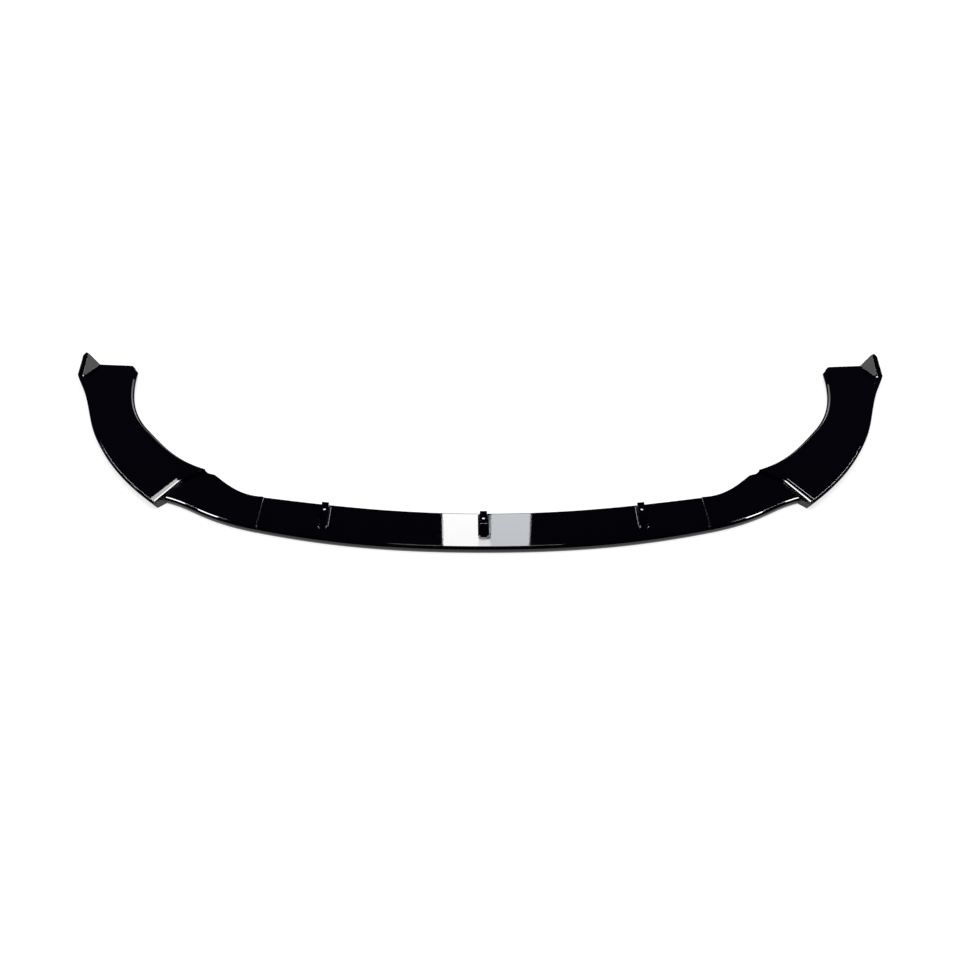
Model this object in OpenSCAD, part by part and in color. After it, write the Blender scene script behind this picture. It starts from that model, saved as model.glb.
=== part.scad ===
// Front splitter lip in three gloss-black mouldings, bolted end to end under two seams.
// Millimetres. X runs across the lip, Y from its front edge to its tips, Z up from the floor.

/* [Overall] */
// Width over the two end plates
overall_w = 1760; // [1740:5:1800]
// Depth from the front edge to the rear of the winglets
overall_d = 609; // [600:1:630]
// Thickness of the moulded skin
wall = 3; // [2:0.25:3.5]
// Rounding of the outer top edges
edge_r = 1.4; // [0.6:0.2:2]

/* [Lower lip] */
// Height of the lower lip above the floor
lip_h = 14; // [13:0.5:18]
// Depth of the lower lip on the centre line
centre_d = 94; // [84:1:100]
// Depth of the lower lip at a seam
seam_d = 90; // [80:1:96]
// How far the front edge is swept back at a seam
seam_sweep = 54; // [48:1:60]
// Distance of a seam from the centre line
seam_x = 412; // [395:1:425]
// Gap between two mouldings at a seam
seam_gap = 0.6; // [0.3:0.1:0.9]
// Step back of an end moulding's rear edge at a seam
seam_step = 2.4; // [0:0.2:3]
// How far the front face bulges past its top edge
nose_bulge = 2.4; // [1:0.2:4]

/* [End plate] */
// Rise of the end plate above the lower lip
plate_rise = 5; // [3:0.5:8]
// Distance from the centre line at which the lower lip runs into the step
lip_end_x = 595; // [590:1:600]
// How far the front edge is swept back where it runs into the step
lip_end_sweep = 140; // [136:1:146]
// Distance of the step's outer corner from the centre line
corner_x = 613; // [609:1:620]
// How far the step's outer corner lies behind the front edge
corner_sweep = 120; // [114:1:126]
// Height of the end plate's outer edge above its undercut
plate_edge_h = 4.5; // [4:0.25:6]
// How far the undercut wall stands inside that edge at the floor
undercut = 18; // [12:0.5:22]
// The same at the step's outer corner
corner_undercut = 9; // [4:0.5:12]
// Width of the end plate along its rear edge, inside the winglet
tip_w = 74; // [66:1:84]
// Width of the chamfer that cuts the tip's inner corner, along the rear edge
tip_chamfer_w = 13; // [10:1:17]
// Length of that chamfer along the inner edge
tip_chamfer_l = 20; // [14:1:30]
// Width of the flat ledge along the inner edge
ledge_w = 2.5; // [2:0.5:5]
// Width of the bevel above that ledge
bevel_w = 3.5; // [3:0.5:7]
// Depth of that bevel
bevel_d = 5; // [3:0.5:6]

/* [Winglet] */
// Height of the winglet above the end plate
winglet_h = 31; // [20:1:45]
// Width of the winglet at the rear edge, slope and land together
winglet_w = 30; // [24:1:36]
// Length of the winglet along the outer edge
winglet_l = 50; // [40:1:60]
// Rounding of the winglet's rear corner, seen from above
winglet_corner_r = 8; // [4:1:12]
// How far the winglet's rear corner lies inside the overall width
winglet_inset = 5; // [0:1:10]
// Width of the land along the winglet's top
winglet_land = 9.5; // [8:0.5:11]
// Width of the raised border in front of the winglet
border_w = 12; // [9:0.5:16]
// Height of the raised border at the foot of the winglet
border_h = 5; // [3:0.5:9]

/* [Screw fins] */
// Distance between the centre fin and a side fin
fin_pitch = 292; // [260:1:320]
// Length of a fin from the rear edge to its nose
fin_l = 68; // [62:1:74]
// How far a fin's rear face stands in front of the rear edge
fin_inset = 3; // [0:0.5:6]
// Width of a fin across its top
fin_w = 13.5; // [12:0.5:18]
// Height of a fin above the lip
fin_h = 10; // [8:0.5:16]
// Length of the level part that holds the screw
fin_level_l = 41; // [38:1:46]
// Radius of the fillet between a fin and the lip
fin_fillet = 3.5; // [2:0.25:5]
// Rounding of a fin's crown
fin_crown_r = 1.2; // [0.8:0.1:2]
// Wall of the hollow fin
fin_wall = 2.5; // [2:0.25:3]
// Diameter of the screw hole
screw_hole_d = 5.5; // [4.5:0.1:6]
// Distance of the screw hole from the rear edge
screw_hole_y = 26; // [22:0.5:28]

/* [Seam bolts] */
// Thickness of the flange under each moulding's end
flange_t = 3; // [2.5:0.25:4]
// Diameter of the bolts
bolt_d = 4; // [3:0.5:4]
// Length of a bolt under its head
bolt_l = 14; // [12.5:0.5:18]
// Diameter of a bolt's head
bolt_head_d = 7; // [6:0.25:7.5]
// Height of a bolt's head
bolt_head_h = 2.6; // [2:0.2:3.2]
// Width of the hexagon socket in that head
bolt_socket_w = 2.5; // [2:0.5:3]
// Width of a nut across its flats
nut_w = 7; // [5.5:0.25:7.25]
// Thickness of a nut
nut_t = 3.2; // [2.4:0.2:3.6]
// Diameter of a washer
washer_d = 8.4; // [7.8:0.2:9]
// Thickness of a washer
washer_t = 0.8; // [0.6:0.1:1.2]
// Distance between the two bolts of a seam
bolt_pitch = 44; // [36:1:48]

/* [Hidden] */
$fn = 48;

LEFT = -1;
RIGHT = 1;
FRONT = -1;
REAR = 1;

GLOSS_BLACK = [0.03, 0.03, 0.03];
ZINC = [0.72, 0.72, 0.74];

// Level of the end plates' top
plate_z = lip_h + plate_rise;

// Share of a span's length for which a curve keeps to its heading at each end
HANDLE = 0.355;

// Knots of the plan curves: distance from the centre line, distance behind the
// front edge, and heading in degrees from the X axis
front_mid = [0, nose_bulge, 0];
front_seam = [seam_x, nose_bulge + seam_sweep, 16];
front_waist = [531, 108.5, 32];
front_end = [lip_end_x, nose_bulge + lip_end_sweep, 20];
rear_mid = [0, nose_bulge + centre_d, 0];
rear_seam = [seam_x, nose_bulge + seam_sweep + seam_d - seam_step, 11];

// Inner edge of an end moulding: it dips to the bend, climbs the step between the
// two ear knots, and runs to the tip's inner corner, which a chamfer cuts off
inner_seam = [seam_x, nose_bulge + seam_sweep + seam_d, 3];
inner_bend = [516, 213, 46];
ear_low = [531, 219];
ear_high = [537, 225, 25];
inner_mid = [682, 364, 52];
tip_x = overall_w / 2 - winglet_inset - winglet_w - tip_w;
inner_knee = [tip_x - 18, overall_d - 56, 82];
inner_rear = [tip_x - tip_chamfer_w, overall_d - 7];

// Outer edge of an end plate, from the step's corner to the winglet
corner = [corner_x, corner_sweep, 42];
outer_mid = [779, 333, 62];
outer_waist = [overall_w / 2 - 26, overall_d - 101, 63];
knee = [overall_w / 2, overall_d - winglet_l, 66];
outer_rear = [overall_w / 2 - winglet_inset, overall_d];

// The step's top line and foot line each bend once on their way across the plate
step_bend = [575, 192.5];
step_foot_bend = [573, 187.5];

// Where along each ring its bend lies, as a share from the inner to the outer edge
CENTRE_BEND = 0.45;
LIP_BEND = 0.46;
PLATE_BEND = 0.42;

// Shares of the way at which the lip's front edge passes its waist, the plate's inner
// edge its middle knot and its outer edge two knots, and at which the raised border starts
FRONT_SHARES = [0, 0.64, 1];
INNER_SHARES = [0, 0.48, 1];
OUTER_SHARES = [0, 0.53, 0.89, 1];
BORDER_START = 0.73;

// Shares between which the outer edge widens into the border, width of the ramp up to
// the border, and share of the border's height that its inner side has
BORDER_WIDENS = [0.61, 0.78];
BORDER_RAMP = 1.5;
INNER_CLIMB = 1 / 3;

// Rise of the winglet's land towards its outer edge
LAND_RISE = 3;

// Angle through which the winglet's outer edge turns at its rear corner
WINGLET_TURN = 75;

// Numbers of sections along each stretch
CENTRE_SECTIONS = 16;
LIP_SECTIONS = 14;
PLATE_SECTIONS = 28;

// Plan curves

function heading(a) = [cos(a), sin(a)];
function place(knot) = [knot.x, knot.y];
function mix(a, b, t) = a + (b - a) * t;

// Share from 0 to 1 of the way between two values, held at the ends
function ramp(t, low, high) = max(0, min(1, (t - low) / (high - low)));

// Point at share t of the curve between two knots
function span(a, b, t) =
    let (
        reach = HANDLE * norm(place(b) - place(a)),
        p0 = place(a),
        p1 = p0 + reach * heading(a.z),
        p3 = place(b),
        p2 = p3 - reach * heading(b.z),
        s = 1 - t
    )
    s * s * s * p0 + 3 * s * s * t * p1 + 3 * s * t * t * p2 + t * t * t * p3;

// Point at share t of a curve through several knots, each passed at its own share
function path(knots, shares, t) =
    let (
        passed = len([for (share = shares) if (share <= t) share]),
        k = min(passed, len(shares) - 1) - 1
    )
    span(knots[k], knots[k + 1], ramp(t, shares[k], shares[k + 1]));

// Cross-section of the skin: a ring of points through the plan points inner, bend
// and outer. On the inner side edge is [ledge, bevel, drop]. On the outer side border
// is [width, land, rise inside, rise outside], and side is the outer wall's profile as
// [distance in from the edge, height] at two heights and its distance at the floor.
function skin_ring(inner, bend, outer, top, edge, border, side, side_skin) =
    let (
        in_dir = (bend - inner) / norm(bend - inner),
        out_dir = (bend - outer) / norm(bend - outer),
        low = top - edge[2],
        slope = edge[0] + edge[1],
        land_z = top + border[2],
        ridge = top + border[3],
        from_inner = function (d, z) [each inner + in_dir * d, z],
        from_outer = function (d, z) [each outer + out_dir * d, z]
    )
    [
        from_inner(0, low),
        from_inner(edge[0], low),
        from_inner(slope, top),
        [each bend, top],
        from_outer(border[0], top),
        from_outer(border[1], land_z),
        from_outer(edge_r, ridge),
        from_outer(edge_r * 0.3, ridge - edge_r * 0.3),
        from_outer(0, ridge - edge_r),
        from_outer(side[0].x, side[0].y),
        from_outer(side[1].x, side[1].y),
        from_outer(side[2], 0),
        from_outer(side[2] + side_skin, 0),
        from_outer(side[1].x + side_skin, side[1].y),
        from_outer(side[0].x + side_skin, side[0].y - edge_r / 2),
        from_outer(wall + edge_r, ridge - wall),
        from_outer(border[1] + wall / 3, land_z - wall),
        from_outer(border[0] + wall / 2, top - wall),
        [each bend, top - wall],
        from_inner(slope + wall / 2, top - wall),
        from_inner(edge[0], low - wall),
        from_inner(0, low - wall)
    ];

// How many points of a ring, from its first, lie on the outside
OUTSIDE_POINTS = 12;

// Closed solid through rings that have the same number of points
module loft(rings) {
    count = len(rings[0]);
    last = len(rings) - 1;
    polyhedron(
        points = [for (ring = rings) each ring],
        faces = [
            [for (k = [0 : count - 1]) k],
            for (r = [0 : last - 1], k = [0 : count - 1])
                let (a = r * count, b = a + count, next = (k + 1) % count)
                each [[a + k, b + k, b + next], [a + k, b + next, a + next]],
            [for (k = [count - 1 : -1 : 0]) last * count + k]
        ]
    );
}

// The lower lip has a narrow chamfer on its inner side, no raised border on its outer
// side, and a front face that bulges
LIP_EDGE = [0.6, 0.8, 0.8];
FLAT_BORDER = [5, 3.5, 0, 0];
LIP_SIDE = [[-nose_bulge, lip_h * 0.66], [-nose_bulge, lip_h * 0.34], 0];

// An end plate has a ledge and a bevel on its inner side, and a wall that runs in
// under its outer edge
PLATE_EDGE = [ledge_w, bevel_w, bevel_d];
function plate_side(inset) =
    let (edge_z = plate_z - plate_edge_h)
    [[0, edge_z], [inset / 2, edge_z / 2], inset];

// Ring of the centre moulding at share t of the way to a seam, negative to the left
function centre_ring(t) =
    let (
        squeeze = (seam_x - seam_gap / 2) / seam_x,
        sided = function (p) [p.x * squeeze * (t < 0 ? LEFT : RIGHT), p.y],
        inner = sided(span(rear_mid, rear_seam, abs(t))),
        outer = sided(span(front_mid, front_seam, abs(t)))
    )
    skin_ring(inner, mix(inner, outer, CENTRE_BEND), outer, lip_h, LIP_EDGE, FLAT_BORDER,
              LIP_SIDE, wall);

// Ring of an end moulding's lower lip at share t of the way to the step. From
// ear_start on its inner edge follows the straight front of the ear.
function lip_ring(t) =
    let (
        ear_start = 0.86,
        gap = [(1 - t) * seam_gap / 2, 0],
        inner = gap + (t < ear_start ? span(inner_seam, inner_bend, t / ear_start)
                       : mix(place(inner_bend), ear_low, ramp(t, ear_start, 1))),
        outer = gap + path([front_seam, front_waist, front_end], FRONT_SHARES, t),
        pull = step_foot_bend - mix(ear_low, place(front_end), LIP_BEND)
    )
    skin_ring(inner, mix(inner, outer, LIP_BEND) + pull * t * t, outer, lip_h,
              LIP_EDGE, FLAT_BORDER, LIP_SIDE, wall);

// Ring of an end plate at share t of the way from the step to the winglet's foot
function plate_ring(t) =
    let (
        inner = path([ear_high, inner_mid, inner_knee], INNER_SHARES, t),
        outer = path([corner, outer_mid, outer_waist, knee], OUTER_SHARES, t),
        pull = (step_bend - mix(place(ear_high), place(corner), PLATE_BEND))
             * pow(1 - ramp(t, 0, 0.3), 2),
        widen = ramp(t, BORDER_WIDENS[0], BORDER_WIDENS[1]),
        climb = pow(ramp(t, BORDER_START, 1), 1.4) * border_h
    )
    skin_ring(inner, mix(inner, outer, PLATE_BEND) + pull, outer, plate_z,
              mix(LIP_EDGE, PLATE_EDGE, ramp(t, 0, 0.45)),
              [mix(FLAT_BORDER[0], border_w, widen), mix(FLAT_BORDER[1], border_w - BORDER_RAMP, widen),
               climb * INNER_CLIMB, climb],
              plate_side(mix(corner_undercut, undercut, ramp(t, 0, 0.04))), wall * 1.5);

// Share of the winglet's length at which the tip's chamfer has cut a given width off
function chamfer_share(cut) =
    let (start = 1 - tip_chamfer_l / (inner_rear.y - inner_knee.y))
    mix(start, 1, cut / tip_chamfer_w);

// The end plate's inner edge where the chamfer has cut a given width off it
function cut_edge(cut) =
    let (
        least = 0.3,
        ledge = max(ledge_w - cut, least),
        both = max(ledge_w + bevel_w - cut, least * 2)
    )
    [ledge, both - ledge, bevel_d];

// Ring of the winglet at share t of the way from its foot to the rear edge. Its outer
// edge turns inwards over the last winglet_corner_r, while its slope runs on straight.
function winglet_ring(t) =
    let (
        chamfer = tip_chamfer_w * ramp(t, chamfer_share(0), 1),
        turn = ramp(t, 1 - winglet_corner_r / winglet_l, 1) * WINGLET_TURN,
        cut = winglet_corner_r * (1 - cos(turn)),
        inner = mix(place(inner_knee), inner_rear, t) + [chamfer, 0],
        outer = mix(place(knee), outer_rear, t) - [cut, 0]
    )
    skin_ring(inner, mix(inner, outer, PLATE_BEND), outer, plate_z, cut_edge(chamfer),
              [mix(border_w, winglet_w, t) - cut, mix(border_w - BORDER_RAMP, winglet_land, t) - cut,
               mix(border_h * INNER_CLIMB, winglet_h - LAND_RISE, t), mix(border_h, winglet_h, t)],
              plate_side(undercut), wall * 1.5);

// The winglet has a section wherever the chamfer meets another edge, and a few where
// the outer edge turns
chamfer_shares = [for (cut = [0, ledge_w, ledge_w + bevel_w]) chamfer_share(cut)];
corner_shares = [for (way = [1, 0.6, 0.3, 0]) 1 - way * winglet_corner_r / winglet_l];
winglet_shares = concat([for (t = chamfer_shares) if (t < corner_shares[0]) t], corner_shares);

// The outside climbs the step a skin's thickness before the inside does, so one ring
// takes the plate's outside and the lip's inside, moved back by step_skin
step_skin = [1, 2, 0];
step_lower = lip_ring(1);
step_upper = plate_ring(0);
step_ring = [for (k = [0 : len(step_upper) - 1])
    k < OUTSIDE_POINTS ? step_upper[k] : step_lower[k] + step_skin];

centre_rings = [for (k = [-CENTRE_SECTIONS : CENTRE_SECTIONS]) centre_ring(k / CENTRE_SECTIONS)];

end_rings = concat(
    [for (k = [0 : LIP_SECTIONS]) lip_ring(k / LIP_SECTIONS)],
    [step_ring],
    [plate_ring(0.5 / PLATE_SECTIONS)],
    [for (k = [1 : PLATE_SECTIONS]) plate_ring(k / PLATE_SECTIONS)],
    [for (t = winglet_shares) winglet_ring(t)]
);

// The part's origin is the middle of its footprint
module in_part_frame() {
    translate([0, -overall_d / 2, 0]) children();
}

// Everything at a seam is drawn on the right and mirrored for the left
module on_side(side) {
    if (side == LEFT) mirror([1, 0, 0]) children();
    else children();
}

// Fins

// Half the length over which a fin's top bends from level to its slope
FIN_BEND = 3;

// Cross-section of a fin on the lip's top
module fin_cross() {
    half = fin_w / 2;
    draft = 0.3;
    fillet = function (a) [half + fin_fillet * (1 - sin(a)), fin_fillet * (1 - cos(a))];
    right = concat(
        [[half + fin_fillet, -wall / 2]],
        [for (a = [0 : 15 : 90]) fillet(a)],
        [[half - draft, fin_h - fin_crown_r], [half - fin_crown_r, fin_h]]
    );
    polygon(concat(right, [for (k = [len(right) - 1 : -1 : 0]) [-right[k].x, right[k].y]]));
}

// Side view of a fin: Y from its nose at -fin_l to its rear face
module fin_side() {
    polygon([
        [-fin_inset, -wall / 2], [-fin_inset, fin_h - fin_crown_r],
        [-fin_inset - fin_crown_r, fin_h],
        [-fin_level_l + FIN_BEND, fin_h], [-fin_level_l - FIN_BEND, fin_h - 1],
        [-fin_l + 1.5, 0.5], [-fin_l, 0], [-fin_l, -wall / 2]
    ]);
}

// Plan of a fin with its rounded nose
module fin_plan() {
    half = fin_w / 2 + fin_fillet + 1;
    nose_r = half - 4;
    translate([-half, -fin_l + nose_r]) square([half * 2, fin_l - nose_r]);
    hull() for (side = [LEFT, RIGHT])
        translate([side * (half - nose_r), -fin_l + nose_r]) circle(nose_r);
}

// The solid that has the three views above
module fin() {
    intersection() {
        rotate([90, 0, 0]) linear_extrude(fin_l + 1) fin_cross();
        rotate([90, 0, 90]) translate([0, 0, -fin_w * 2]) linear_extrude(fin_w * 4) fin_side();
        translate([0, 0, -wall]) linear_extrude(fin_h + wall * 2) fin_plan();
    }
}

// Room inside a fin, open underneath, with the screw hole through its roof
module fin_hollow() {
    inside_h = fin_h - fin_wall;
    inside_y = -fin_inset - fin_wall;
    below = wall * 2;
    rotate([90, 0, 90]) translate([0, 0, -fin_w / 2 + fin_wall])
        linear_extrude(fin_w - fin_wall * 2)
            polygon([
                [inside_y, -below], [inside_y, inside_h], [-fin_level_l + FIN_BEND, inside_h],
                [-fin_l + fin_wall * 3, -wall / 2], [-fin_l + fin_wall * 3, -below]
            ]);
    translate([0, -screw_hole_y, 0]) cylinder(d = screw_hole_d, h = fin_h + 1);
}

// Share of the rear curve at which it is fin_pitch from the centre line
function fin_share(low, high, tries) =
    let (middle = (low + high) / 2)
    tries == 0 ? middle
    : span(rear_mid, rear_seam, middle).x < fin_pitch ? fin_share(middle, high, tries - 1)
    : fin_share(low, middle, tries - 1);

// Puts things at the three fins, each at the rear edge
module at_fins() {
    side_y = span(rear_mid, rear_seam, fin_share(0, 1, 24)).y;
    translate([0, rear_mid.y, lip_h]) children();
    for (side = [LEFT, RIGHT]) translate([side * fin_pitch, side_y, lip_h]) children();
}

// Seam bolts

bolt_y = nose_bulge + seam_sweep + seam_d / 2;
bolt_z = (lip_h - wall) / 2;

// How far a flange's near and far faces lie from the middle of the seam
flange_near = seam_gap / 2 + 0.2;
flange_far = flange_near + flange_t;

// Outline of a seam flange, Y along the seam and Z up. Its front edge lies inside the
// front wall, and its top inside the lip's skin.
module flange_outline() {
    front = nose_bulge + seam_sweep - wall / 3;
    back = nose_bulge + seam_sweep + seam_d - wall * 4;
    top = lip_h - wall / 2;
    toe = 1;
    polygon([[front, top], [front, lip_h / 3], [front + 2, toe], [back - 6, toe],
             [back, 4], [back, top]]);
}

// Frame of one bolt at the right seam, its axis outwards from the centre line
module at_bolt(end) {
    translate([seam_x, bolt_y + end * bolt_pitch / 2, bolt_z]) rotate([0, 90, 0]) children();
}

// Flange of the moulding on one side of the right seam, with its two bolt holes
module flange(side) {
    start = side == LEFT ? -flange_far : flange_near;
    difference() {
        translate([seam_x + start, 0, 0]) rotate([90, 0, 90])
            linear_extrude(flange_t) flange_outline();
        for (end = [FRONT, REAR]) at_bolt(end)
            cylinder(d = bolt_d + 0.5, h = flange_t * 4, center = true);
    }
}

module screw(side, end) {
    socket_h = 1.5;
    color(ZINC) in_part_frame() on_side(side) at_bolt(end)
        translate([0, 0, -flange_far - washer_t]) {
            cylinder(d = bolt_d, h = bolt_l);
            translate([0, 0, -bolt_head_h]) difference() {
                cylinder(d = bolt_head_d, h = bolt_head_h);
                translate([0, 0, -1])
                    cylinder(d = bolt_socket_w / cos(30), h = socket_h + 1, $fn = 6);
            }
        }
}

module nut(side, end) {
    color(ZINC) in_part_frame() on_side(side) at_bolt(end)
        translate([0, 0, flange_far + washer_t]) difference() {
            cylinder(d = nut_w / cos(30), h = nut_t, $fn = 6);
            translate([0, 0, -1]) cylinder(d = bolt_d + 0.1, h = nut_t + 2);
        }
}

// Washer whose lower face is at the given place along the bolt
module washer(side, end, along) {
    color(ZINC) in_part_frame() on_side(side) at_bolt(end)
        translate([0, 0, along]) difference() {
            cylinder(d = washer_d, h = washer_t);
            translate([0, 0, -1]) cylinder(d = bolt_d + 0.3, h = washer_t + 2);
        }
}

module head_washer(side, end) {
    washer(side, end, -flange_far - washer_t);
}

module nut_washer(side, end) {
    washer(side, end, flange_far);
}

// Mouldings

module centre_section() {
    color(GLOSS_BLACK) in_part_frame() difference() {
        union() {
            loft(centre_rings);
            at_fins() fin();
            for (side = [LEFT, RIGHT]) on_side(side) flange(LEFT);
        }
        at_fins() fin_hollow();
    }
}

module end_section(side) {
    color(GLOSS_BLACK) in_part_frame() on_side(side) {
        loft(end_rings);
        flange(RIGHT);
    }
}

centre_section();
end_section(LEFT);  // left_end_section
end_section(RIGHT);  // right_end_section
screw(LEFT, FRONT);  // screw_left_front
screw(LEFT, REAR);  // screw_left_rear
screw(RIGHT, FRONT);  // screw_right_front
screw(RIGHT, REAR);  // screw_right_rear
nut(LEFT, FRONT);  // nut_left_front
nut(LEFT, REAR);  // nut_left_rear
nut(RIGHT, FRONT);  // nut_right_front
nut(RIGHT, REAR);  // nut_right_rear
head_washer(LEFT, FRONT);  // head_washer_left_front
head_washer(LEFT, REAR);  // head_washer_left_rear
head_washer(RIGHT, FRONT);  // head_washer_right_front
head_washer(RIGHT, REAR);  // head_washer_right_rear
nut_washer(LEFT, FRONT);  // nut_washer_left_front
nut_washer(LEFT, REAR);  // nut_washer_left_rear
nut_washer(RIGHT, FRONT);  // nut_washer_right_front
nut_washer(RIGHT, REAR);  // nut_washer_right_rear
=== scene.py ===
"""Look of the front splitter lip: smooth gloss-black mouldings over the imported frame.

Lengths are in millimetres until a mesh is made, and in the frame's metres after that.
"""
import math

import bpy
import numpy as np
from mathutils import Matrix, Vector


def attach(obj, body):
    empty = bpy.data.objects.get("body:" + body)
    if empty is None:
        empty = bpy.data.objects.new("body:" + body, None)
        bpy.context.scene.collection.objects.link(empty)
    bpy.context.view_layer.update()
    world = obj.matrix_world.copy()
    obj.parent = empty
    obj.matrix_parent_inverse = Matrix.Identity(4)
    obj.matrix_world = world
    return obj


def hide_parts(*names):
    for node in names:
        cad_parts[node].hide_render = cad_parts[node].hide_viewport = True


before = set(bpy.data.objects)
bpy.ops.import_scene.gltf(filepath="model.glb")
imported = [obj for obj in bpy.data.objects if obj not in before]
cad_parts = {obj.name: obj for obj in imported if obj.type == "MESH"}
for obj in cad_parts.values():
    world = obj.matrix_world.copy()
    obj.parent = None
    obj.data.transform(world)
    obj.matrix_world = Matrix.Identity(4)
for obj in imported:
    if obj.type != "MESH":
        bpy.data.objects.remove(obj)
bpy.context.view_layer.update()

MM = 0.001
LEFT, RIGHT = -1, 1

# Sizes of the lip, as in the part's source
WALL = 3.0
EDGE_R = 1.4
DEPTH = 609.0
LIP_Z = 14.0
PLATE_Z = 19.0
SEAM_X = 412.0
SEAM_GAP = 0.6
NOSE_BULGE = 2.4
PLATE_EDGE_H = 4.5
UNDERCUT = 18.0
CORNER_UNDERCUT = 9.0
BORDER_W = 12.0
BORDER_H = 5.0
WINGLET_H = 31.0
WINGLET_W = 30.0
WINGLET_L = 50.0
WINGLET_CORNER_R = 8.0
WINGLET_LAND = 9.5
WINGLET_TURN = 75.0
LAND_RISE = 3.0
TIP_CHAMFER_W = 13.0
TIP_CHAMFER_L = 20.0

# Knots of the plan curves: distance from the centre line, distance behind the front
# edge, and heading in degrees from the X axis. The handle is a share of the way to the
# next knot.
HANDLE = 0.355
FRONT_MID = (0, 2.4, 0)
FRONT_SEAM = (412, 56.4, 16)
FRONT_WAIST = (531, 108.5, 32)
FRONT_END = (595, 142.4, 20)
REAR_MID = (0, 96.4, 0)
REAR_SEAM = (412, 144, 11)
INNER_SEAM = (412, 146.4, 3)
INNER_BEND = (516, 213, 46)
EAR_LOW = (531, 219)
EAR_HIGH = (537, 225, 25)
INNER_MID = (682, 364, 52)
INNER_KNEE = (753, 553, 82)
INNER_REAR = (758, 602)
CORNER = (613, 120, 42)
OUTER_MID = (779, 333, 62)
OUTER_WAIST = (854, 508, 63)
KNEE = (880, 559, 66)
OUTER_REAR = (875, 609)
STEP_BEND = np.array([575, 192.5])
STEP_FOOT_BEND = np.array([573, 187.5])
CENTRE_BEND, LIP_BEND, PLATE_BEND = 0.45, 0.46, 0.42
EAR_START = 0.86
FRONT_SHARES = (0, 0.64, 1)
INNER_SHARES = (0, 0.48, 1)
OUTER_SHARES = (0, 0.53, 0.89, 1)
BORDER_START = 0.73
BORDER_WIDENS = (0.61, 0.78)
BORDER_RAMP = 1.5
INNER_CLIMB = 1 / 3

# A shallow band along the step's top edge rises towards that edge, which is chamfered:
# shares of the way along the plate, and the lift of its top there
BAND_LIFT = ((0, 0.006, 0.0225, 0.0245), (-0.3, 0.75, -0.3, 0))

# Fins: hollow, with the hole's roof thinner than the rest
FIN_X = (-292.0, 0.0, 292.0)
FIN_L = 68.0
FIN_INSET = 3.0
FIN_W = 13.5
FIN_H = 10.0
FIN_LEVEL_L = 41.0
FIN_FILLET = 3.5
FIN_WALL = 2.5
HOLE_D = 5.5
HOLE_BACK = 26.0
ROOF_AT_HOLE = 1.0
FIN_NOSE_L = 7.5
FIN_NOSE_DRAW = 6.0
FIN_SIDE_LEAN = 0.25
FIN_BACK_LEAN = 0.5
FIN_ROUND = 1.2
OVERSHOOT = 2.0

# Flanges and bolts at the seams
FLANGE_T = 3.0
BOLT_D = 4.0
BOLT_PITCH = 44.0
BOLT_Y = 101.4

# Fineness of the skins. A section's ring has this many points inside the skin.
FILLET_STEPS = 6
INSIDE_POINTS = 8
TOP_STEPS = (2, 9)
CENTRE_SECTIONS = 181
LIP_SECTIONS, PLATE_SECTIONS, WINGLET_SECTIONS = 70, 150, 24
CHAMFER_SHARE = 0.0006
ROW_GAP = 0.02
SEAM_ROUND, TIP_ROUND = 0.5, 0.25


# Plan curves

def place(knot):
    return np.array(knot[:2], float)


def heading(degrees):
    return np.array([math.cos(math.radians(degrees)), math.sin(math.radians(degrees))])


def mix(a, b, t):
    return a + (b - a) * t


def ramp(t, low, high):
    return min(1.0, max(0.0, (t - low) / (high - low)))


def span(a, b, t):
    """Point on the cubic curve between two knots."""
    reach = HANDLE * np.linalg.norm(place(b) - place(a))
    p0, p3 = place(a), place(b)
    p1, p2 = p0 + reach * heading(a[2]), p3 - reach * heading(b[2])
    s = 1 - t
    return s**3 * p0 + 3 * s * s * t * p1 + 3 * s * t * t * p2 + t**3 * p3


def path(knots, shares, t):
    """Point on the curve through knots, each of which lies at its share of the whole."""
    k = min(sum(share <= t for share in shares), len(shares) - 1) - 1
    return span(knots[k], knots[k + 1], ramp(t, shares[k], shares[k + 1]))


def share_at_x(a, b, x):
    """Share of the span between two knots at which it is x from the centre line."""
    low, high = 0.0, 1.0
    for _ in range(40):
        middle = (low + high) / 2
        if span(a, b, middle)[0] < x:
            low = middle
        else:
            high = middle
    return (low + high) / 2


# Cross-sections

def soften(points, reaches, steps=FILLET_STEPS):
    """Rounds the inner corners of a polyline, each within its reach of the corner.
    Points may be whole rings, and then every point of a ring is rounded on its own."""
    points = [np.asarray(p, float) for p in points]
    out = [points[0]]
    for before, corner, after, reach in zip(points, points[1:], points[2:], reaches):
        sides = []
        for other in (before, after):
            way = other - corner
            length = np.linalg.norm(way, axis=-1, keepdims=True)
            sides.append(corner + way * np.minimum(0.48, reach / np.maximum(length, 1e-9)))
        for k in range(steps + 1):
            t = k / steps
            out.append((1 - t) ** 2 * sides[0] + 2 * t * (1 - t) * corner + t * t * sides[1])
    return out + [points[-1]]


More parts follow.
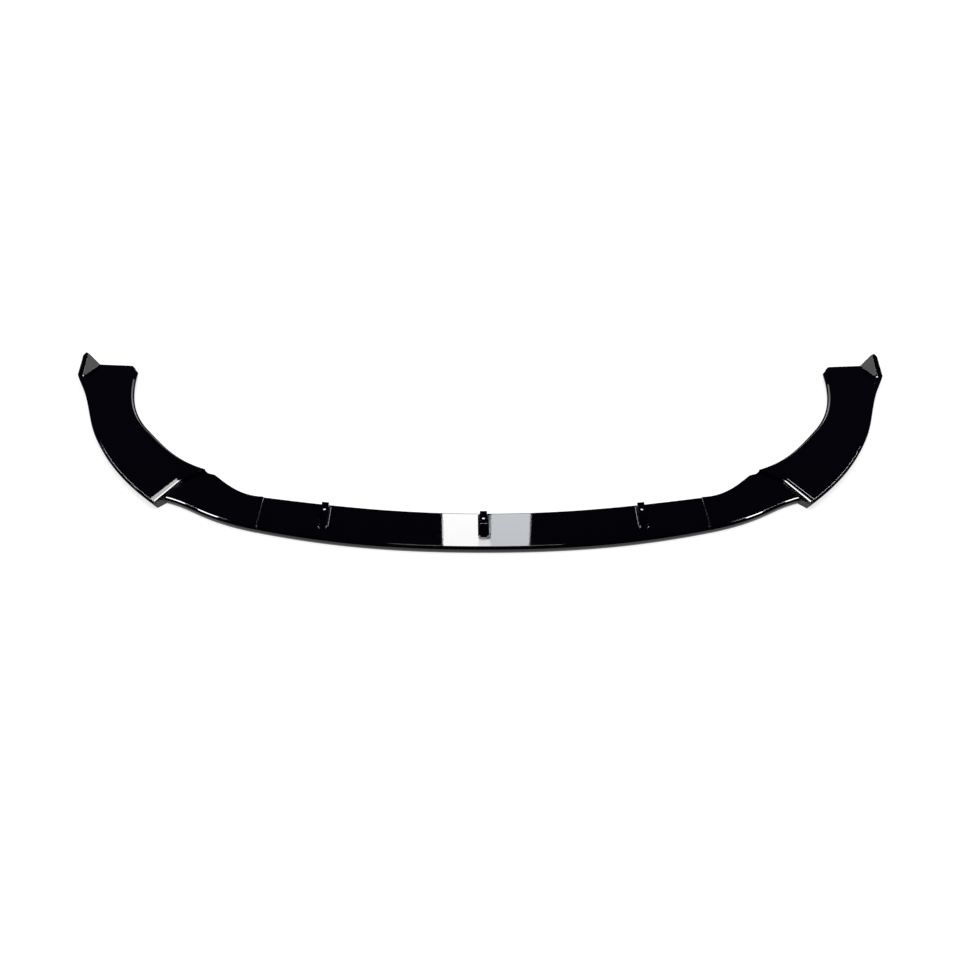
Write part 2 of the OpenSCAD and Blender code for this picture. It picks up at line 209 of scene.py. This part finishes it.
def skin_ring(inner, bend, outer, top, edge, border, side, side_skin, top_steps=(2, 2),
              lift=0.0):
    """Closed ring of points round the skin: up the inner edge, over the top, down the
    outer side, and back underneath. The top is lifted from the bend to the outer edge."""
    in_dir = (bend - inner) / np.linalg.norm(bend - inner)
    out_dir = (bend - outer) / np.linalg.norm(bend - outer)
    low = top - edge[2]
    slope = edge[0] + edge[1]
    land_z, ridge = top + border[2], top + border[3]

    def from_inner(p):
        return np.append(inner + in_dir * p[0], p[1])

    def from_outer(p):
        return np.append(outer + out_dir * p[0], p[1])

    inner_side = soften(
        [(0, low - WALL), (0, low), (edge[0], low), (slope, top), (slope + 4, top)],
        [0.7, 0.9, 1.3])
    outer_side = soften(
        [(border[0] + 4, top + lift), (border[0], top + lift), (border[1], land_z + lift),
         (0, ridge + lift), side[0], side[1], (side[2], 0), (side[2] + side_skin, 0)],
        [0.3, 0.3, EDGE_R, 0.9, 0.9, 0.5])
    ring = [from_inner(p) for p in inner_side]
    first, last = ring[-1], from_outer(outer_side[0])
    middle = np.append(bend, top)
    ring += [mix(first, middle, k / top_steps[0]) for k in range(1, top_steps[0] + 1)]
    for k in range(1, top_steps[1] + 1):
        way = (k / top_steps[1]) ** 2
        ring.append(np.append(mix(bend, last[:2], way), top + lift * ramp(way, 0, 0.05)))
    ring += [from_outer(p) for p in outer_side[1:]]
    land = max(WALL + EDGE_R, border[1] + WALL / 3)
    ring += [from_outer(p) for p in (
        (side[1][0] + side_skin, side[1][1]),
        (side[0][0] + side_skin, side[0][1] - EDGE_R / 2),
        (WALL + EDGE_R, ridge - WALL),
        (land, land_z - WALL),
        (max(land + 0.2, border[0] + WALL / 2), top - WALL))]
    ring.append(np.append(bend, top - WALL))
    ring += [from_inner(p) for p in ((slope + WALL / 2, top - WALL), (edge[0], low - WALL))]
    return np.array(ring)


LIP_EDGE = np.array([0.6, 0.8, 0.8])
PLATE_EDGE = np.array([2.5, 3.5, 5.0])
LIP_BORDER = (2.2, 0.3, -0.8, -1.0)
FLAT_BORDER = (4.4, 1.9, -1.1, -2.6)
LIP_SIDE = ((-NOSE_BULGE, LIP_Z * 0.66), (-NOSE_BULGE, LIP_Z * 0.34), 0)


def plate_side(inset):
    """Outer side of a plate, whose foot is set in by that much."""
    edge_z = PLATE_Z - PLATE_EDGE_H
    return ((0, edge_z), (inset / 2, edge_z / 2), inset)


def lip_ring(t):
    """Section of the low lip at a share t of the way from the seam to the step."""
    gap = np.array([(1 - t) * SEAM_GAP / 2, 0])
    if t < EAR_START:
        inner = gap + span(INNER_SEAM, INNER_BEND, t / EAR_START)
    else:
        inner = gap + mix(place(INNER_BEND), place(EAR_LOW), ramp(t, EAR_START, 1))
    outer = gap + path((FRONT_SEAM, FRONT_WAIST, FRONT_END), FRONT_SHARES, t)
    pull = STEP_FOOT_BEND - mix(place(EAR_LOW), place(FRONT_END), LIP_BEND)
    bend = mix(inner, outer, LIP_BEND) + pull * t * t
    return skin_ring(inner, bend, outer, LIP_Z, LIP_EDGE, LIP_BORDER, LIP_SIDE, WALL,
                     TOP_STEPS)


def plate_ring(t):
    """Section of the end plate at a share t of the way from the step to the winglet. The
    chamfered border of its outer edge widens, and then climbs."""
    inner = path((EAR_HIGH, INNER_MID, INNER_KNEE), INNER_SHARES, t)
    outer = path((CORNER, OUTER_MID, OUTER_WAIST, KNEE), OUTER_SHARES, t)
    pull = STEP_BEND - mix(place(EAR_HIGH), place(CORNER), PLATE_BEND)
    pull = pull * (1 - ramp(t, 0, 0.3)) ** 2
    widen = ramp(t, *BORDER_WIDENS)
    climb = ramp(t, BORDER_START, 1) ** 1.4 * BORDER_H
    border = (mix(FLAT_BORDER[0], BORDER_W, widen),
              mix(FLAT_BORDER[1], BORDER_W - BORDER_RAMP, widen),
              mix(FLAT_BORDER[2], 0, widen) + climb * INNER_CLIMB,
              mix(FLAT_BORDER[3], 0, widen) + climb)
    undercut = mix(CORNER_UNDERCUT, UNDERCUT, ramp(t, 0, 0.04))
    lift = np.interp(t, *BAND_LIFT)
    return skin_ring(inner, mix(inner, outer, PLATE_BEND) + pull, outer, PLATE_Z,
                     mix(LIP_EDGE, PLATE_EDGE, ramp(t, 0, 0.45)), border,
                     plate_side(undercut), WALL * 1.5, TOP_STEPS, lift)


def chamfer_share(cut):
    """Share of the winglet's length at which the tip's chamfer has cut that much off."""
    start = 1 - TIP_CHAMFER_L / (INNER_REAR[1] - INNER_KNEE[1])
    return mix(start, 1, cut / TIP_CHAMFER_W)


def cut_edge(cut):
    """The plate's inner edge where the chamfer has cut that much off."""
    least = 0.3
    ledge = max(PLATE_EDGE[0] - cut, least)
    both = max(PLATE_EDGE[0] + PLATE_EDGE[1] - cut, least * 2)
    return ledge, both - ledge, PLATE_EDGE[2]


def winglet_ring(t):
    """Section at a share t of the way along the winglet, whose rear corners are cut off."""
    chamfer = TIP_CHAMFER_W * ramp(t, chamfer_share(0), 1)
    turn = ramp(t, 1 - WINGLET_CORNER_R / WINGLET_L, 1) * WINGLET_TURN
    cut = WINGLET_CORNER_R * (1 - math.cos(math.radians(turn)))
    inner = mix(place(INNER_KNEE), place(INNER_REAR), t) + np.array([chamfer, 0])
    outer = mix(place(KNEE), place(OUTER_REAR), t) - np.array([cut, 0])
    border = (mix(BORDER_W, WINGLET_W, t) - cut,
              mix(BORDER_W - BORDER_RAMP, WINGLET_LAND, t) - cut,
              mix(BORDER_H * INNER_CLIMB, WINGLET_H - LAND_RISE, t),
              mix(BORDER_H, WINGLET_H, t))
    return skin_ring(inner, mix(inner, outer, PLATE_BEND), outer, PLATE_Z, cut_edge(chamfer),
                     border, plate_side(UNDERCUT), WALL * 1.5, TOP_STEPS)


def rounded_end(rings, radius, steps=3):
    """The rings with the last one drawn in in its own plane, so that the moulding's end
    has a soft edge."""
    last = rings[-1]
    axis = sum(np.cross(a - last[0], b - last[0]) for a, b in zip(last[1:], last[2:]))
    axis /= np.linalg.norm(axis)
    ways = [np.roll(last, -1, axis=0) - last, last - np.roll(last, 1, axis=0)]
    ways = [way / np.maximum(np.linalg.norm(way, axis=1, keepdims=True), 1e-9) for way in ways]
    inward = np.cross(axis, ways[0] + ways[1])
    inward /= np.maximum(np.linalg.norm(inward, axis=1, keepdims=True), 1e-9)
    along = axis * np.sign(np.dot(axis, np.mean(last - rings[-2], axis=0)))
    out = list(rings[:-1])
    for k in range(steps + 1):
        a = math.radians(90 * k / steps)
        out.append(last - along * radius * (1 - math.sin(a)) + inward * radius * (1 - math.cos(a)))
    return out


# Meshes

def loft_mesh(name, rings, mirrored=False):
    """Closed mesh through rings of points, moved to the part's frame."""
    points = np.array(rings)
    count, last = points.shape[1], len(rings) - 1
    flat = points.reshape(-1, 3) * MM
    flat[:, 1] -= DEPTH / 2 * MM
    if mirrored:
        flat[:, 0] *= -1
    faces = [[k for k in range(count)]]
    for r in range(last):
        for k in range(count):
            a, n = r * count, (k + 1) % count
            faces.append([a + k, a + count + k, a + count + n, a + n])
    faces.append([last * count + k for k in range(count - 1, -1, -1)])
    if mirrored:
        faces = [face[::-1] for face in faces]
    mesh = bpy.data.meshes.new(name)
    mesh.from_pydata([tuple(p) for p in flat], [], faces)
    mesh.validate()
    return mesh


def shade(mesh, degrees=32):
    """Smooth shading, apart from edges sharper than that."""
    mesh.polygons.foreach_set("use_smooth", [True] * len(mesh.polygons))
    mesh.set_sharp_from_angle(angle=math.radians(degrees))
    mesh.update()


def add_piece(name, mesh, material, slot, *nodes):
    obj = bpy.data.objects.new(name, mesh)
    bpy.context.scene.collection.objects.link(obj)
    mesh.materials.clear()
    mesh.materials.append(material)
    normals = obj.modifiers.new("flat_faces_stay_flat", "WEIGHTED_NORMAL")
    normals.keep_sharp = True
    normals.weight = 100
    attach(obj, "root")
    if nodes:
        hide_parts(*nodes)
    return obj


# End mouldings

def end_rings():
    """Rings from the seam along the low lip, up the step, and out to the winglet's tip."""
    lip = [lip_ring(k / LIP_SECTIONS) for k in range(LIP_SECTIONS + 1)]
    shares = {k / PLATE_SECTIONS for k in range(PLATE_SECTIONS + 1)}
    shares |= {b + s for b in BAND_LIFT[0][1:] for s in (-CHAMFER_SHARE, 0, CHAMFER_SHARE)}
    plate = [plate_ring(t) for t in sorted(shares)]
    shares = {k / WINGLET_SECTIONS for k in range(1, WINGLET_SECTIONS + 1)}
    shares |= {chamfer_share(cut) for cut in (0, PLATE_EDGE[0], PLATE_EDGE[0] + PLATE_EDGE[1])}
    shares |= {1 - s * WINGLET_CORNER_R / WINGLET_L for s in (0.1, 0.2, 0.3, 0.4, 0.5)}
    wing = [winglet_ring(t) for t in sorted(shares)]
    # The step's wall stands upright, so its foot gets a ring of its own. The inside
    # follows a skin's thickness behind.
    outside = len(lip[-1]) - INSIDE_POINTS
    foot = plate[0].copy()
    foot[:outside, 2] = np.minimum(foot[:outside, 2], LIP_Z + 0.1)
    foot[outside:] = lip[-1][outside:] + (0.3, 0.6, 0)
    plate[0][outside:] = lip[-1][outside:] + (1, 2, 0)
    step = soften([lip[-1], foot, plate[0], plate[1]], [0.3, 0.4])
    rings = lip + step[1:-1] + plate[1:] + wing
    start = rounded_end([rings[1], rings[0]], SEAM_ROUND)[1:]
    rings = start[::-1] + rings[1:]
    return rounded_end(rings, TIP_ROUND)


# Centre moulding

def fin_cross(u):
    """Height of a fin's cross-section at u from its middle, above the lip's top."""
    u = abs(u)
    half = FIN_W / 2
    foot = half + FIN_FILLET
    if u >= foot:
        return 0.0
    if u >= half:
        return FIN_FILLET - math.sqrt(max(0.0, FIN_FILLET**2 - (foot - u) ** 2))
    return FIN_FILLET + (half - u) * (FIN_H - FIN_FILLET + OVERSHOOT) / FIN_SIDE_LEAN


def fin_length(v):
    """Height of a fin's side view at v from the lip's rear edge, v negative."""
    if v >= -FIN_INSET:
        return 0.0
    if v > -FIN_INSET - FIN_BACK_LEAN:
        return (-FIN_INSET - v) / FIN_BACK_LEAN * (FIN_H + OVERSHOOT)
    if v > -FIN_LEVEL_L:
        return FIN_H
    if v > -FIN_L:
        return FIN_H * (v + FIN_L) / (FIN_L - FIN_LEVEL_L)
    return 0.0


def soft_min(a, b, k):
    """The lesser of two heights, with the corner between them rounded."""
    h = max(k - abs(a - b), 0.0) / k
    return min(a, b) - h * h * k / 4


def fin_height(u, v):
    """Height of a fin above the lip's top. Its front end narrows in an arc."""
    body = fin_length(v)
    cross = fin_cross(u)
    if v < -FIN_L + FIN_NOSE_L:
        past = (-FIN_L + FIN_NOSE_L - v) / FIN_NOSE_L
        side = 1 - math.sqrt(max(0.0, 1 - min(1.0, past) ** 2))
        cross = fin_cross(abs(u) + side * FIN_NOSE_DRAW)
    if body <= 0 or cross <= 0:
        return 0.0
    return max(0.0, soft_min(cross, body, min(FIN_ROUND, body * 0.5 + 0.05)))


def centre_xs():
    """Where the centre moulding's rings lie, close together at the walls of the fins."""
    half = FIN_W / 2
    foot = half + FIN_FILLET
    wall = [half - 0.05 * k for k in range(11)]
    arc = [half + FIN_FILLET * (1 - math.sin(math.radians(a))) for a in range(0, 91, 9)]
    near = [0.0, 1.5, 3.0, 4.2, 5.0, 5.6, 6.0, foot + 0.6, *wall, *arc]
    xs = set()
    for fin in FIN_X:
        for u in near:
            xs |= {round(fin + u, 3), round(fin - u, 3)}
    end = SEAM_X - SEAM_GAP / 2
    for x in np.linspace(-end, end, CENTRE_SECTIONS):
        if min(abs(x - fin) for fin in FIN_X) > foot + 1.5:
            xs.add(round(float(x), 3))
    return sorted(xs)


def fin_rear_y(fin):
    """How far the lip's rear edge is behind the front edge at a fin."""
    return span(REAR_MID, REAR_SEAM, share_at_x(REAR_MID, REAR_SEAM, abs(fin)))[1]


def fin_rows():
    """Distances from the rear edge to the rows of points along a fin, negative towards
    the front, and close together where the fin's side view turns."""
    rows = [-FIN_INSET - s for s in (0.0, 0.08, 0.16, 0.24, 0.32, 0.4, 0.5, 0.8, 1.2, 1.8)]
    for start, end, count in ((-6, -37, 14), (-38, -45, 15), (-47, -57, 8),
                              (-58, -FIN_L - 0.6, 24)):
        rows += list(np.linspace(start, end, count))
    return rows


def centre_ring(x):
    """Ring of the centre moulding at x, with the fins raised out of its top."""
    squeeze = (SEAM_X - SEAM_GAP / 2) / SEAM_X
    ax = abs(x) / squeeze
    inner_y = span(REAR_MID, REAR_SEAM, share_at_x(REAR_MID, REAR_SEAM, ax))[1]
    outer_y = span(FRONT_MID, FRONT_SEAM, share_at_x(FRONT_MID, FRONT_SEAM, ax))[1]
    inner, outer = np.array([x, inner_y]), np.array([x, outer_y])
    fin = min(FIN_X, key=lambda f: abs(f - x))
    rear = fin_rear_y(fin)
    ring = skin_ring(inner, mix(inner, outer, CENTRE_BEND), outer, LIP_Z, LIP_EDGE,
                     LIP_BORDER, LIP_SIDE, WALL, top_steps=(1, 1))
    # The flat top is drawn again with rows of points along a fin. Where the lip is too
    # short for them, the rows are packed at its edges.
    first = 2 + 3 * (FILLET_STEPS + 1)
    start, finish = ring[first - 1], ring[first + 1]
    rows = fin_rows()
    top = []
    for k, v in enumerate(rows):
        y = min(start[1] - ROW_GAP * (k + 1), rear + v)
        y = max(finish[1] + ROW_GAP * (len(rows) - k), y)
        top.append(np.array([x, y, LIP_Z + fin_height(x - fin, v)]))
    return np.array(list(ring[:first]) + top + list(ring[first + 1:]))


def centre_rings():
    rings = [centre_ring(x) for x in centre_xs()]
    rings = rounded_end(rings, SEAM_ROUND)
    return rounded_end(rings[::-1], SEAM_ROUND)[::-1]


def cutter_mesh(fin):
    """Room inside a fin, open underneath."""
    rear = fin_rear_y(fin)
    half = FIN_W / 2 - FIN_WALL
    roof = FIN_H - FIN_WALL
    back = rear - FIN_INSET - FIN_WALL
    side = [(back, -WALL * 2), (back, roof), (rear - FIN_LEVEL_L + 3, roof),
            (rear - FIN_L + FIN_WALL * 3, -WALL / 2), (rear - FIN_L + FIN_WALL * 3, -WALL * 2)]
    verts = [(fin + s * half, y, LIP_Z + z) for s in (-1, 1) for y, z in side]
    n = len(side)
    faces = [list(range(n - 1, -1, -1)), list(range(n, 2 * n))]
    faces += [[k, (k + 1) % n, n + (k + 1) % n, n + k] for k in range(n)]
    return verts, faces


def hole_mesh(fin, radius, low, high, sides=48):
    """Upright cylinder on the axis of a fin's screw hole."""
    rear = fin_rear_y(fin)
    verts = []
    for z in (low, high):
        for k in range(sides):
            a = 2 * math.pi * k / sides
            verts.append((fin + radius * math.cos(a), rear - HOLE_BACK + radius * math.sin(a), z))
    faces = [list(range(sides - 1, -1, -1)), list(range(sides, 2 * sides))]
    faces += [[k, (k + 1) % sides, sides + (k + 1) % sides, sides + k] for k in range(sides)]
    return verts, faces


def cylinder_along_x(low, high, y, z, radius, sides=32):
    verts = []
    for x in (low, high):
        for k in range(sides):
            a = 2 * math.pi * k / sides
            verts.append((x, y + radius * math.cos(a), z + radius * math.sin(a)))
    faces = [list(range(sides - 1, -1, -1)), list(range(sides, 2 * sides))]
    faces += [[k, (k + 1) % sides, sides + (k + 1) % sides, sides + k] for k in range(sides)]
    return verts, faces


def flange_shape(side, seam_side):
    """Upright plate under a moulding's end, seam_side of the seam, which is on that side
    of the lip. Its edges are inside the moulding's wall."""
    near, far = SEAM_GAP / 2 + 0.2, SEAM_GAP / 2 + 0.2 + FLANGE_T
    front = FRONT_SEAM[1]
    back = INNER_SEAM[1] - WALL * 4
    top = LIP_Z - WALL * 0.6
    outline = [(front + 1.6, top), (front - 0.8, LIP_Z * 0.64), (front - 0.8, LIP_Z * 0.34),
               (front + 1, 1), (back - 6, 1), (back, 4), (back, top)]
    xs = sorted(side * (SEAM_X + seam_side * d) for d in (near, far))
    verts = [(x, y, z) for x in xs for y, z in outline]
    n = len(outline)
    faces = [list(range(n - 1, -1, -1)), list(range(n, 2 * n))]
    faces += [[k, (k + 1) % n, n + (k + 1) % n, n + k] for k in range(n)]
    return verts, faces


def bolt_hole(side, seam_side, end):
    """Hole through the flange for the seam's front or rear bolt."""
    middle = side * (SEAM_X + seam_side * 3)
    return cylinder_along_x(middle - 4, middle + 4, BOLT_Y + end * BOLT_PITCH / 2,
                            (LIP_Z - WALL) / 2, BOLT_D / 2 + 0.25)


def shape_mesh(name, verts, faces):
    """Mesh from points in the drawing's millimetres, moved to the part's frame."""
    flat = np.array(verts) * MM
    flat[:, 1] -= DEPTH / 2 * MM
    mesh = bpy.data.meshes.new(name)
    mesh.from_pydata([tuple(p) for p in flat], [], faces)
    return mesh


def carve(mesh, shapes):
    """The mesh with closed shapes cut out of it."""
    base = bpy.data.objects.new("cut_base", mesh)
    bpy.context.scene.collection.objects.link(base)
    helpers = []
    for k, (verts, faces) in enumerate(shapes):
        obj = bpy.data.objects.new(f"cut_{k}", shape_mesh(f"cut_{k}", verts, faces))
        bpy.context.scene.collection.objects.link(obj)
        helpers.append(obj)
        step = base.modifiers.new(f"cut_{k}", "BOOLEAN")
        step.operation, step.solver, step.object = "DIFFERENCE", "EXACT", obj
    bpy.context.view_layer.update()
    result = bpy.data.meshes.new_from_object(
        base.evaluated_get(bpy.context.evaluated_depsgraph_get()))
    for obj in [base, *helpers]:
        bpy.data.objects.remove(obj)
    return result


def with_flange(mesh, side, seam_side):
    """The mesh together with the flange at that seam, which has its two bolt holes."""
    flange = carve(shape_mesh("flange", *flange_shape(side, seam_side)),
                   [bolt_hole(side, seam_side, end) for end in (LEFT, RIGHT)])
    verts, faces = [], []
    for part in (mesh, flange):
        start = len(verts)
        verts += [tuple(v.co) for v in part.vertices]
        faces += [[start + k for k in face.vertices] for face in part.polygons]
    whole = bpy.data.meshes.new(mesh.name)
    whole.from_pydata(verts, [], faces)
    return whole


# Materials

def new_material(name):
    material = bpy.data.materials.new(name)
    material.use_nodes = True
    tree = material.node_tree
    tree.nodes.clear()
    out = tree.nodes.new("ShaderNodeOutputMaterial")
    shader = tree.nodes.new("ShaderNodeBsdfPrincipled")
    tree.links.new(shader.outputs[0], out.inputs[0])
    return material, tree, shader


def noise(tree, scale, detail=2.0, roughness=0.5):
    """Procedural noise in the piece's own coordinates."""
    coords = tree.nodes.new("ShaderNodeTexCoord")
    texture = tree.nodes.new("ShaderNodeTexNoise")
    texture.inputs["Scale"].default_value = scale
    texture.inputs["Detail"].default_value = detail
    texture.inputs["Roughness"].default_value = roughness
    tree.links.new(coords.outputs["Object"], texture.inputs["Vector"])
    return texture.outputs["Fac"]


def remap(tree, value, low, high, start=0.3, stop=0.7):
    """The value, which runs mostly from start to stop, brought between low and high."""
    node = tree.nodes.new("ShaderNodeMapRange")
    node.inputs["From Min"].default_value = start
    node.inputs["From Max"].default_value = stop
    node.inputs["To Min"].default_value = low
    node.inputs["To Max"].default_value = high
    tree.links.new(value, node.inputs["Value"])
    return node.outputs["Result"]


def gloss_black():
    material, tree, shader = new_material("gloss_black")
    shader.inputs["Base Color"].default_value = (0.0004, 0.0004, 0.0007, 1)
    shader.inputs["IOR"].default_value = 1.5
    tree.links.new(remap(tree, noise(tree, 22, 4), 0.008, 0.016), shader.inputs["Roughness"])
    bump = tree.nodes.new("ShaderNodeBump")
    bump.inputs["Strength"].default_value = 0.03
    bump.inputs["Distance"].default_value = 0.0002
    tree.links.new(noise(tree, 420, 1), bump.inputs["Height"])
    tree.links.new(bump.outputs["Normal"], shader.inputs["Normal"])
    return material


def zinc():
    material, tree, shader = new_material("zinc_steel")
    shader.inputs["Metallic"].default_value = 1.0
    tree.links.new(remap(tree, noise(tree, 900, 3), 0.25, 0.45), shader.inputs["Roughness"])
    mixer = tree.nodes.new("ShaderNodeValToRGB")
    mixer.color_ramp.elements[0].color = (0.50, 0.51, 0.53, 1)
    mixer.color_ramp.elements[1].color = (0.72, 0.72, 0.70, 1)
    tree.links.new(noise(tree, 300, 2), mixer.inputs["Fac"])
    tree.links.new(mixer.outputs["Color"], shader.inputs["Base Color"])
    return material


# Pieces

black = gloss_black()
steel = zinc()

centre = loft_mesh("centre_section_skin", centre_rings())
shapes = []
for fin in FIN_X:
    shapes.append(cutter_mesh(fin))
    # The roof is thinner round the hole, underneath
    shapes.append(hole_mesh(fin, FIN_W / 2 - FIN_WALL - 0.2, LIP_Z + 2,
                            LIP_Z + FIN_H - ROOF_AT_HOLE))
    shapes.append(hole_mesh(fin, HOLE_D / 2, LIP_Z + 2, LIP_Z + FIN_H + 4))
centre = carve(centre, shapes)
for side in (LEFT, RIGHT):
    centre = with_flange(centre, side, LEFT)
shade(centre)
add_piece("centre_section_skin", centre, black, "gloss_black", "centre_section")

ends = end_rings()
for side, word in ((LEFT, "left"), (RIGHT, "right")):
    mesh = loft_mesh(f"{word}_end_skin", ends, mirrored=side == LEFT)
    mesh = with_flange(mesh, side, RIGHT)
    shade(mesh)
    add_piece(f"{word}_end_skin", mesh, black, "gloss_black", f"{word}_end_section")

for node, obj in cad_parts.items():
    if node.startswith(("screw", "nut", "head_washer")):
        obj.data.materials.clear()
        obj.data.materials.append(steel)


# Stage

def emitter(name, centre, target, width, height, strength, colour=(1, 1, 1)):
    """A soft rectangular light that faces its target, of the same radiance all over."""
    data = bpy.data.lights.new(name, "AREA")
    data.shape, data.size, data.size_y = "RECTANGLE", width, height
    data.energy = strength * width * height * math.pi
    data.color = colour
    obj = bpy.data.objects.new(name, data)
    bpy.context.scene.collection.objects.link(obj)
    obj.location = centre
    way = Vector(target) - Vector(centre)
    obj.rotation_euler = way.to_track_quat("-Z", "Y").to_euler()
    return obj


# The pale floor glows, so that it stays white under the overhangs too
FLOOR_X, FLOOR_Y = (-14, 14), (-10, 18)
floor_mesh = bpy.data.meshes.new("floor")
floor_mesh.from_pydata([(FLOOR_X[0], FLOOR_Y[0], 0), (FLOOR_X[1], FLOOR_Y[0], 0),
                        (FLOOR_X[1], FLOOR_Y[1], 0), (FLOOR_X[0], FLOOR_Y[1], 0)],
                       [], [(0, 1, 2, 3)])
floor = bpy.data.objects.new("floor", floor_mesh)
bpy.context.scene.collection.objects.link(floor)
pale, pale_tree, pale_shader = new_material("pale_floor")
pale_shader.inputs["Base Color"].default_value = (0.4, 0.4, 0.4, 1)
pale_shader.inputs["Emission Color"].default_value = (1, 1, 1, 1)
pale_shader.inputs["Emission Strength"].default_value = 0.72
pale_shader.inputs["Roughness"].default_value = 0.9
pale_shader.inputs["Specular IOR Level"].default_value = 0.0
floor_mesh.materials.append(pale)

world = bpy.data.worlds.new("dim_room")
world.use_nodes = True
world.node_tree.nodes["Background"].inputs["Color"].default_value = (0.4, 0.4, 1.0, 1)
world.node_tree.nodes["Background"].inputs["Strength"].default_value = 0.03
bpy.context.scene.world = world


def flat_card(name, xs, ys, z, strength, colour=(1, 1, 1)):
    """A horizontal light that only shows as a reflection."""
    centre = ((xs[0] + xs[1]) / 2, (ys[0] + ys[1]) / 2, z)
    card = emitter(name, centre, (centre[0], centre[1], 0), xs[1] - xs[0], ys[1] - ys[0],
                   strength, colour)
    card.visible_diffuse = False
    return card


# The overhead light has no reflection in the gloss. The cards are only reflections: the
# strip and the front boxes in the front edge, the rear boxes in the chamfer of the outer
# edge, the dim cards in the winglets, the band card in the band along the left step, and
# the others in the top of the centre moulding.
overhead = emitter("overhead", (0, 0.5, 5), (0, 0.5, 0), 9, 9, 2.2)
overhead.visible_glossy = False
flat_card("strip", (-0.45, 0.45), (0.95, 1.45), 2.5, 24)
for side, word in ((LEFT, "left"), (RIGHT, "right")):
    flat_card(f"{word}_front_box", sorted((side * 1.72, side * 2.32)), (0.3, 1.05), 2.5, 32)
    rear = emitter(f"{word}_rear_box", (side * 3.46, 2.02, 2.5), (side * 3.46, 2.02, 0),
                   2.2, 0.5, 40)
    rear.rotation_euler = (0, 0, side * math.radians(52.5))
    rear.visible_diffuse = False
    flat_card(f"{word}_dim_card", sorted((side * 1.8, side * 2.35)), (0.75, 1.3), 1.5, 2)
band_card = emitter("left_band_card", (-4.69, 8, 3.88), (-0.6, -0.15, 0), 0.54, 1.35, 5.6)
band_card.visible_diffuse = False
for word, xs, strength, colour in (("left", (-0.153, 0.012), 17, (1, 1, 1)),
                                   ("right", (0.068, 0.25), 10, (0.93, 0.96, 1))):
    middle = (xs[0] + xs[1]) / 2
    card = emitter(f"{word}_patch_card", (middle, 2.0, 1.96), (middle, 0, 1.96),
                   xs[1] - xs[0], 0.5, strength, colour)
    card.visible_diffuse = False
nose_card = emitter("nose_card", (0.04, 2.0, 2.103), (0.04, 0, 2.103), 0.056, 0.214, 13)
nose_card.visible_diffuse = False

bpy.context.scene.view_settings.view_transform = "Standard"

# Camera, at the photo's place. The lens is given in pixels of the photo.

PHOTO_W = 960
FOCAL_PIXELS = 1053.025
SENSOR_W = 36
CAMERA_AT = np.array([-22.831, -1705.400, 1252.044])
TILT = math.radians(37.802177)
YAW = math.radians(0.6522797)
ROLL = math.radians(-0.4514875)


def turn(angle):
    c, s = math.cos(angle), math.sin(angle)
    return np.array([[c, -s, 0], [s, c, 0], [0, 0, 1]])


level = np.array([[1, 0, 0], [0, math.sin(TILT), math.cos(TILT)],
                  [0, math.cos(TILT), -math.sin(TILT)]])
view_axes = turn(ROLL) @ level @ turn(YAW)
camera_data = bpy.data.cameras.new("camera")
camera_data.sensor_fit = "HORIZONTAL"
camera_data.sensor_width = SENSOR_W
camera_data.lens = SENSOR_W * FOCAL_PIXELS / PHOTO_W
camera_data.shift_x = -0.5 / PHOTO_W
camera_data.shift_y = 0.5 / PHOTO_W
camera_data.clip_end = 100
camera = bpy.data.objects.new("camera", camera_data)
bpy.context.scene.collection.objects.link(camera)
placed = np.eye(4)
placed[:3, 0], placed[:3, 1], placed[:3, 2] = view_axes[0], view_axes[1], -view_axes[2]
placed[:3, 3] = CAMERA_AT * MM
camera.matrix_world = Matrix(placed.tolist())
bpy.context.scene.camera = camera
